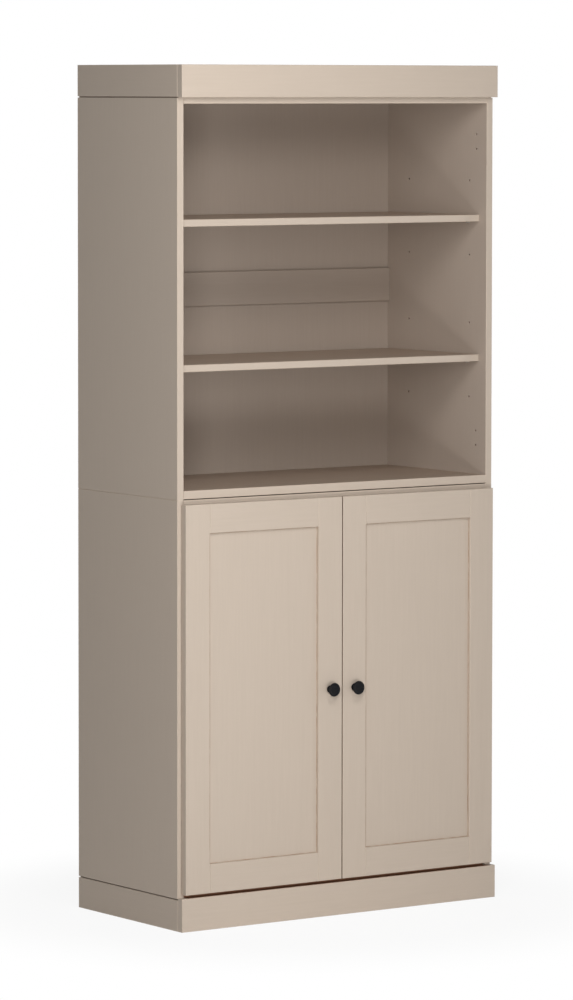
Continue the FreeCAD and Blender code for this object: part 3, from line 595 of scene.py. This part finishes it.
for hand in ("left", "right"):
    low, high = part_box(f"{hand}_knob")
    middle = (low + high) / 2
    door_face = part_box(f"{hand}_door_stile_inner")[0].y
    out, radius = KNOB_BASE
    bpy.ops.object.select_all(action="DESELECT")
    bpy.ops.mesh.primitive_cylinder_add(
        vertices=KNOB_SIDES, radius=radius, depth=out,
        location=(middle.x, door_face - out / 2, middle.z),
        rotation=(math.radians(90.0), 0.0, 0.0))
    knob = bpy.context.object
    knob.name = f"{hand}_turned_knob"
    bpy.ops.object.transform_apply(location=True, rotation=True, scale=True)
    bpy.ops.object.mode_set(mode="EDIT")
    select_faces(lambda spot, normal: normal.y < -FACING)

    # From the base disc forwards, each ring is the front face drawn out and set to its radius.
    for ring_out, ring_radius in KNOB_RINGS:
        bpy.ops.mesh.extrude_region_move(
            TRANSFORM_OT_translate={"value": (0.0, out - ring_out, 0.0)})
        bpy.ops.transform.resize(value=(ring_radius / radius, 1.0, ring_radius / radius),
                                 center_override=(middle.x, door_face - ring_out, middle.z))
        out, radius = ring_out, ring_radius
    bpy.ops.object.mode_set(mode="OBJECT")
    knob.data.materials.append(bronze)
    bpy.ops.object.shade_smooth_by_angle(angle=math.radians(SMOOTH_UNDER))
    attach(knob, f"{hand}_door")
    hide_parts(f"{hand}_knob")


# ---------------------------------------------------------------- hinges
# Concealed hinges of nickel-plated pressed steel: cups in the doors, arms and plates on the
# sides, each cup's ears and each plate held by a pair of cross-head screws.

NICKEL = (0.60, 0.59, 0.56, 1.0)
NICKEL_DULL = (0.42, 0.41, 0.39, 1.0)
NICKEL_ROUGHNESS = (0.32, 0.46)
NICKEL_STRETCH = (0.2, 1.0, 1.0)
NICKEL_SHIFT = (0.1, 0.5, 0.3)

nickel, tree = new_material("nickel-plated steel")
brushed = place_group(tree, brushed_grain, {
    "Place": object_place(tree), "Stretch": NICKEL_STRETCH, "Shift": NICKEL_SHIFT})
show_shader(tree, add_node(tree, "ShaderNodeBsdfPrincipled", {
    "Base Color": mix_colours(tree, brushed["Streaks"], NICKEL_DULL, NICKEL),
    "Roughness": remap(tree, brushed["Cloud"], NOISE_SPAN, NICKEL_ROUGHNESS),
    "Normal": bumped(tree, brushed["Height"], strength=0.15, distance=0.0001),
    "Metallic": 1.0}))
for node in ("left_hinge_cups", "left_hinge_arms", "left_hinge_plates", "right_hinge_cups",
             "right_hinge_arms", "right_hinge_plates", "shelf_pins"):
    give_material(node, nickel)

# Cross-head screws, modelled once facing the front and copied to each place. One near each end
# of a cup's ears, two on a plate's wings, two on an arm and one behind each knob. Their places
# go from the object's middle sideways and from each hinge's level up and down.
SCREW_SIDES = 20
SCREW_RADIUS = 0.0034
SCREW_HEIGHT = 0.0016
SCREW_TOP = 0.99 * SCREW_HEIGHT
CROSS_HALF_WIDTH = 0.00042
CROSS_DEPTH = 0.0009
CROSS_RIM = 0.0006
CROSS_WITHIN = 0.0017
HINGE_LEVELS = (0.1646, 0.8158)
EAR_MIDDLE = 0.3833
WING_FACE = 0.3972
WING_FROM_FRONT = 0.0210
ARM_FACE = 0.3924
EAR_SCREW_RISE = 0.0232
WING_SCREW_RISE = 0.0160
ARM_SCREW_FROM_END = (0.009, 0.030)

# The two steps of the domed head, each as its share of the height and how far it draws in.
SCREW_DOME = ((0.3, 0.88), (0.2, 0.78))


def on_screw_top(spot, normal):
    return spot.y < -SCREW_TOP and math.hypot(spot.x, spot.z) < CROSS_WITHIN


def in_cross(spot, normal):
    return on_screw_top(spot, normal) and min(abs(spot.x), abs(spot.z)) < CROSS_HALF_WIDTH


bpy.ops.object.select_all(action="DESELECT")
bpy.ops.mesh.primitive_cylinder_add(
    vertices=SCREW_SIDES, radius=SCREW_RADIUS, depth=SCREW_HEIGHT / 2,
    location=(0.0, -SCREW_HEIGHT / 4, 0.0), rotation=(math.radians(90.0), 0.0, 0.0))
screw = bpy.context.object
bpy.ops.object.transform_apply(location=True, rotation=True, scale=True)
bpy.ops.object.mode_set(mode="EDIT")
select_faces(lambda spot, normal: normal.y < -FACING)
for rise, width in SCREW_DOME:
    bpy.ops.mesh.extrude_region_move(
        TRANSFORM_OT_translate={"value": (0.0, -rise * SCREW_HEIGHT, 0.0)})
    bpy.ops.transform.resize(value=(width, 1.0, width), center_override=(0.0, 0.0, 0.0))
bpy.ops.mesh.inset(thickness=CROSS_RIM)
for axis in ((1.0, 0.0, 0.0), (0.0, 0.0, 1.0)):
    for side in (-1.0, 1.0):
        select_faces(on_screw_top)
        bpy.ops.mesh.bisect(plane_co=Vector(axis) * side * CROSS_HALF_WIDTH, plane_no=axis)
select_faces(in_cross)
bpy.ops.mesh.extrude_region_move(
    TRANSFORM_OT_translate={"value": (0.0, CROSS_DEPTH, 0.0)})
bpy.ops.object.mode_set(mode="OBJECT")
screw.data.materials.append(nickel)

for hand, way in (("left", -1.0), ("right", 1.0)):
    stile_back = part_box(f"{hand}_door_stile_inner")[1].y
    knob_low, knob_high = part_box(f"{hand}_knob")
    cup_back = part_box(f"{hand}_hinge_cups")[1].y
    plate_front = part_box(f"{hand}_hinge_plates")[0].y
    arm_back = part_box(f"{hand}_hinge_arms")[1].y
    door_places = [((knob_low.x + knob_high.x) / 2, stile_back, (knob_low.z + knob_high.z) / 2)]
    door_places += [(EAR_MIDDLE * way, cup_back, level + side * EAR_SCREW_RISE)
                    for level in HINGE_LEVELS for side in (-1.0, 1.0)]
    side_places = [(WING_FACE * way, plate_front + WING_FROM_FRONT,
                    level + side * WING_SCREW_RISE)
                   for level in HINGE_LEVELS for side in (-1.0, 1.0)]
    side_places += [(ARM_FACE * way, arm_back - from_end, level)
                    for level in HINGE_LEVELS for from_end in ARM_SCREW_FROM_END]
    for body, places, turn in ((f"{hand}_door", door_places, 180.0),
                               ("carcass", side_places, -90.0 * way)):
        copies = []
        for spot in places:
            bpy.ops.object.select_all(action="DESELECT")
            screw.select_set(True)
            bpy.context.view_layer.objects.active = screw
            bpy.ops.object.duplicate(linked=False)
            copy = bpy.context.object
            copy.location = spot
            copy.rotation_euler = (0.0, 0.0, math.radians(turn))
            bpy.ops.object.transform_apply(location=True, rotation=True, scale=True)
            copies.append(copy)
        for copy in copies:
            copy.select_set(True)
        bpy.ops.object.join()
        joined = bpy.context.object
        joined.name = f"{hand}_screws_on_{body}"
        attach(joined, body)
bpy.ops.object.select_all(action="DESELECT")
screw.select_set(True)
bpy.ops.object.delete()


# ---------------------------------------------------------------- door bumpers
# Small clear rubber pads stuck on the lower top board's front edge, where the doors meet it.
# The rubber is slightly cloudy.

RUBBER_DARK = (0.62, 0.60, 0.56, 1.0)
RUBBER_PALE = (0.74, 0.72, 0.68, 1.0)

rubber, tree = new_material("clear rubber")
haze = add_node(tree, "ShaderNodeTexNoise", {
    "Vector": object_place(tree), "Scale": 600.0, "Detail": 2.0}).outputs["Fac"]
show_shader(tree, add_node(tree, "ShaderNodeBsdfPrincipled", {
    "Base Color": mix_colours(tree, haze, RUBBER_DARK, RUBBER_PALE), "Roughness": 0.45}))
give_material("door_bumpers", rubber)
